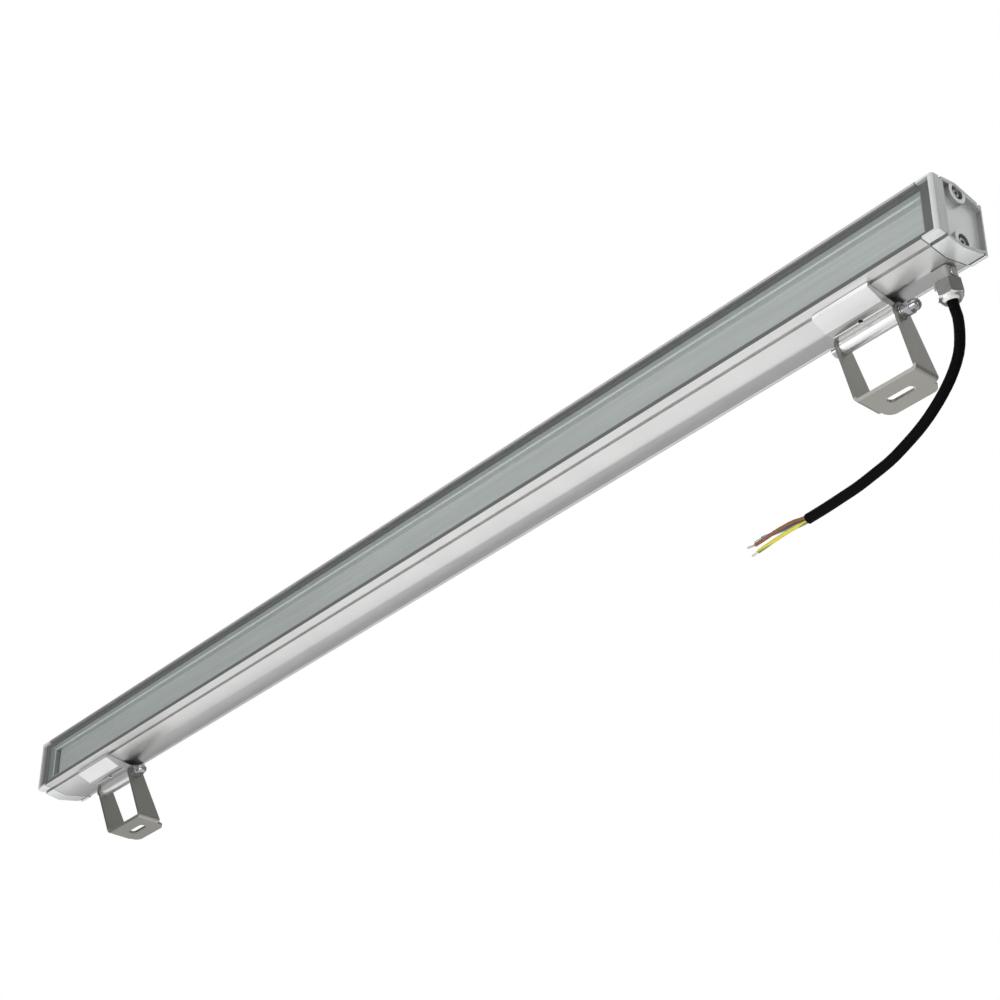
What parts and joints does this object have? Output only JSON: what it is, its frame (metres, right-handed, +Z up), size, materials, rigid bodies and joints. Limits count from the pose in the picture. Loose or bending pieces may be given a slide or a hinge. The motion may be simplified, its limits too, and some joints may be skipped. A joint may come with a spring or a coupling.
{
  "type": "linear wall washer light",
  "caption": "Slim aluminium bar light with a long framed window, end caps, a cable gland and lead, and two sliding clamps that tilt in folded sheet feet.",
  "frame": {"origin": "midway between the two foot slots, on the underside of the feet", "axes": "+X along the housing towards the cable gland, light shines towards -Y, +Z up from the mounting surface"},
  "size_m": [1.2001, 0.0822, 0.194],
  "materials": {
    "housing_aluminium": "satin",
    "cap_aluminium": "satin",
    "gasket_rubber": "matte",
    "zinc_steel": "satin",
    "frame_anodised": "matte",
    "window_glass": "gloss",
    "clear_seal": "satin",
    "frosted_sheet": "satin",
    "board_white": "satin",
    "chip_yellow": "satin",
    "ivory_plastic": "satin",
    "driver_case": "satin",
    "lead_brown": "satin",
    "lead_red": "satin",
    "nickel_brass": "satin",
    "cable_black": "satin",
    "core_brown": "satin",
    "core_blue": "satin",
    "core_yellow_green": "satin",
    "tinned_copper": "satin",
    "clamp_satin": "satin",
    "dark_steel": "satin",
    "stainless_sheet": "satin",
    "bright_steel": "polished",
    "spring_steel": "satin"
  },
  "bodies": {
    "right_bracket": {"bracket_right": "stainless_sheet", "pivot_bolt_right": "bright_steel", "pivot_washer_right": "bright_steel", "spring_washer_right": "spring_steel", "cap_nut_right": "bright_steel"},
    "right_clamp": {"clamp_right": "clamp_satin", "grub_screw_right": "dark_steel"},
    "left_bracket": {"bracket_left": "stainless_sheet", "pivot_bolt_left": "bright_steel", "pivot_washer_left": "bright_steel", "spring_washer_left": "spring_steel", "cap_nut_left": "bright_steel"},
    "left_clamp": {"clamp_left": "clamp_satin", "grub_screw_left": "dark_steel"},
    "housing": {"housing": "housing_aluminium", "end_cap_right": "cap_aluminium", "end_cap_left": "cap_aluminium", "cap_gasket_right": "gasket_rubber", "cap_gasket_left": "gasket_rubber", "cap_screws": "zinc_steel", "window_frame": "frame_anodised", "glass": "window_glass", "glass_seal": "clear_seal", "diffuser": "frosted_sheet", "led_boards": "board_white", "led_chips": "chip_yellow", "board_links": "ivory_plastic", "board_screws": "zinc_steel", "driver": "driver_case", "driver_screws": "zinc_steel", "terminal_block": "ivory_plastic", "terminal_screws": "zinc_steel", "supply_leads": "lead_brown", "driver_leads": "lead_brown", "output_leads": "lead_red", "gland_adapter": "nickel_brass", "gland_base_seal": "gasket_rubber", "gland_screw": "nickel_brass", "gland_nut": "nickel_brass", "gland_seal": "gasket_rubber", "cable_sheath": "cable_black", "core_brown": "core_brown", "core_blue": "core_blue", "core_yellow_green": "core_yellow_green", "core_tips": "tinned_copper"}
  },
  "joints": [
    {"name": "right_tilt", "type": "hinge", "parent": "right_bracket", "child": "right_clamp", "pos_m": [0.50275, -0.0255, 0.0445], "axis": [1, 0, 0], "range_deg": [-86, 90]},
    {"name": "right_slide", "type": "slide", "parent": "right_clamp", "child": "housing", "axis": [1, 0, 0], "range_m": [-0.01, 0.44]},
    {"name": "left_slide", "type": "slide", "parent": "housing", "child": "left_clamp", "axis": [1, 0, 0], "range_m": [-0.04, 0.44]},
    {"name": "left_tilt", "type": "hinge", "parent": "left_clamp", "child": "left_bracket", "pos_m": [-0.50275, -0.0255, 0.0445], "axis": [1, 0, 0], "range_deg": [-90, 86]}
  ],
  "couplings": [
    {"joint": "left_tilt", "follows": "right_tilt", "ratio": -1}
  ]
}
